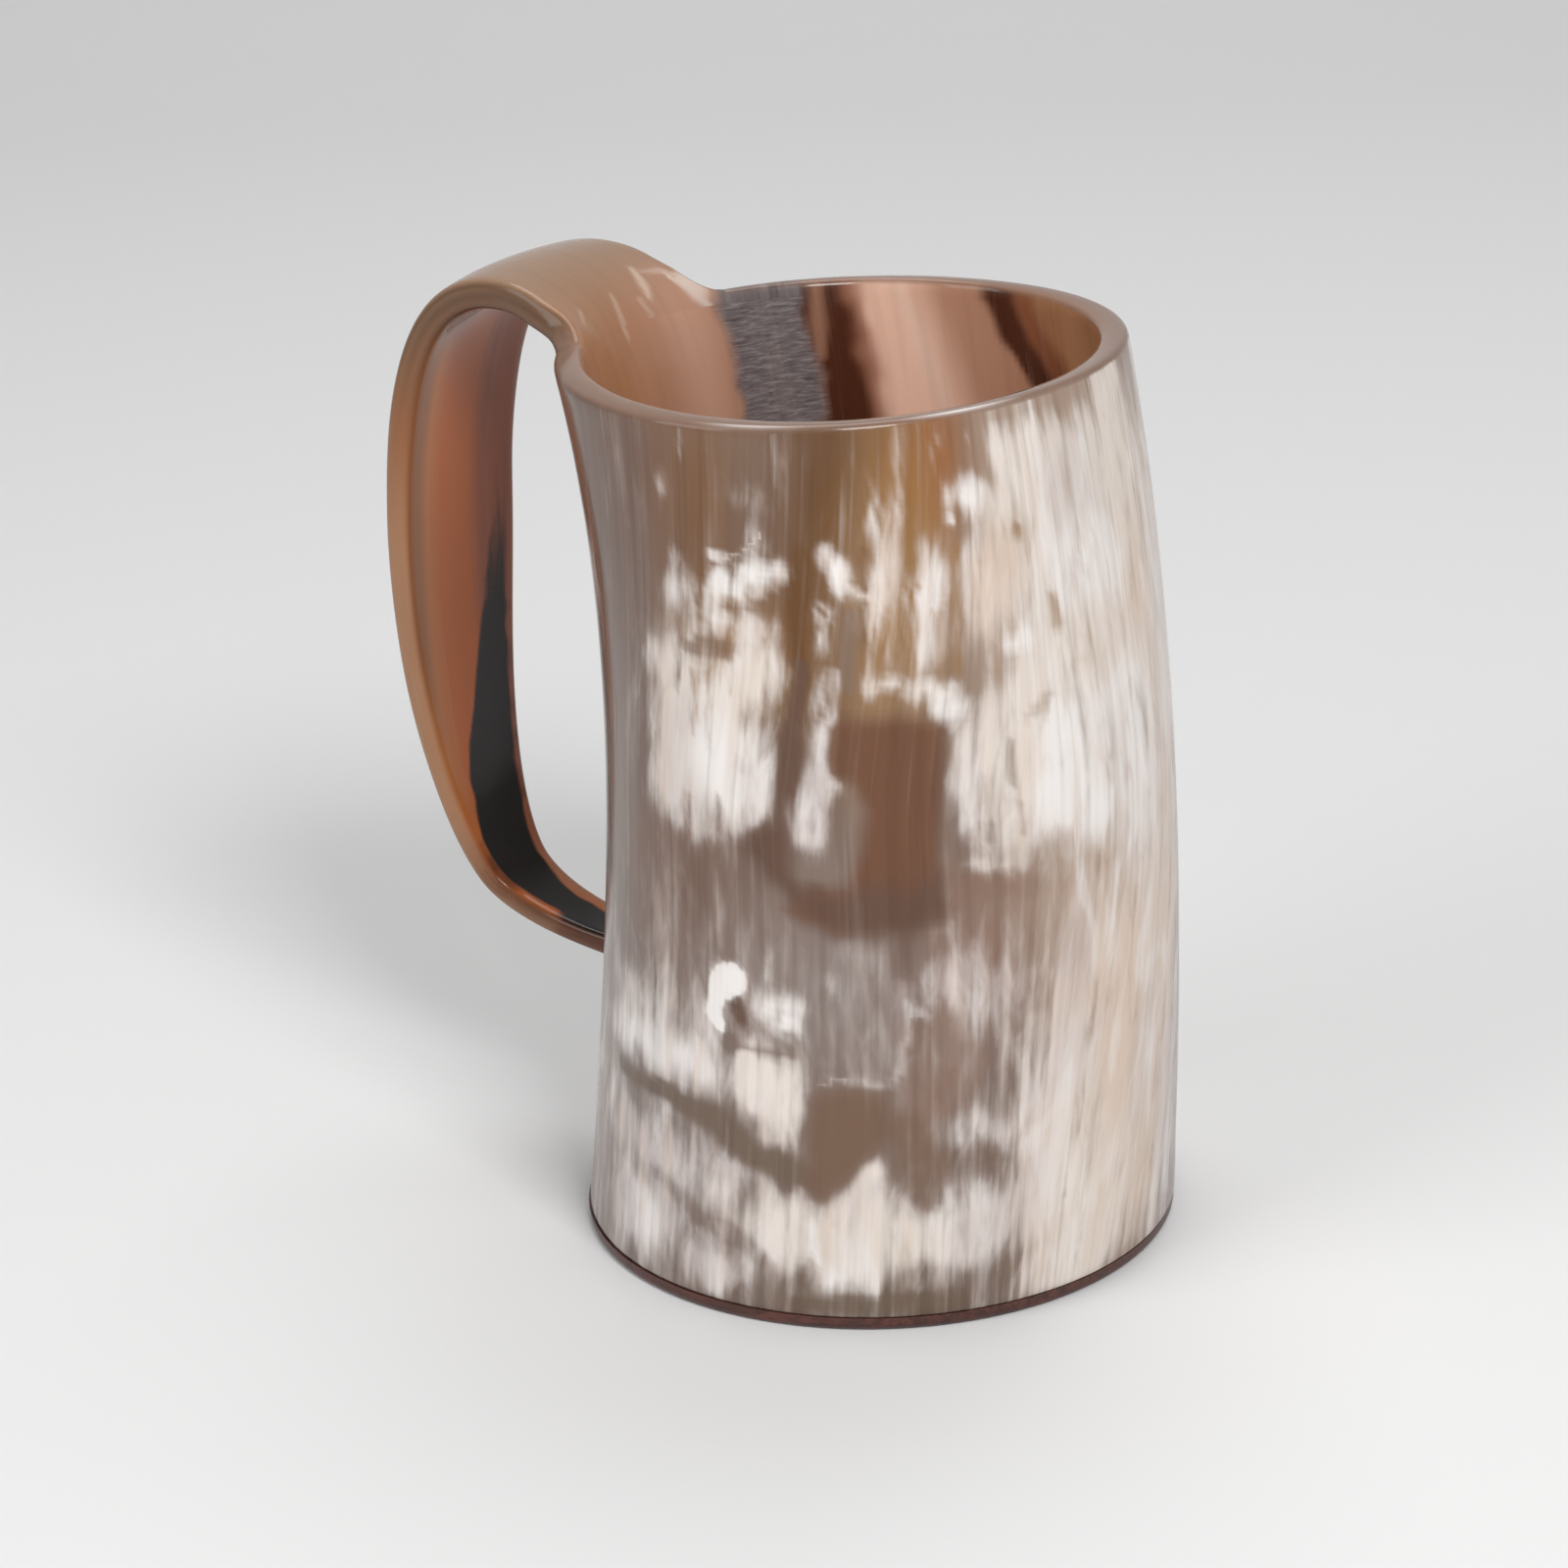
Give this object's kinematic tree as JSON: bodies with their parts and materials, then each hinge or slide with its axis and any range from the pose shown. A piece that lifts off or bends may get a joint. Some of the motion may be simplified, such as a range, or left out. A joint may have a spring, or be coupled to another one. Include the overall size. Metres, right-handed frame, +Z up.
{
  "type": "horn drinking cup",
  "caption": "Tall drinking cup of polished horn, its handle a strip of the same horn bent over the rim, on a thin wood bottom disc.",
  "frame": {"origin": "middle of the bottom disc's underside, where the cup stands", "axes": "+Z up along the cup, -X toward the handle, the handle's plane is Y = 0"},
  "size_m": [0.1295, 0.094, 0.1496],
  "materials": {
    "horn": "polished and mottled, cream, brown and grey",
    "bottom_wood": "oiled, dark red-brown",
    "clear_resin": "clear, slightly amber",
    "resin_pad": "amber",
    "pin_wood": "plain"
  },
  "bodies": {
    "root": {"horn_body": "horn", "base_disc": "bottom_wood", "base_seal": "clear_resin", "handle_bond": "resin_pad", "handle_pin": "pin_wood"}
  },
  "joints": []
}
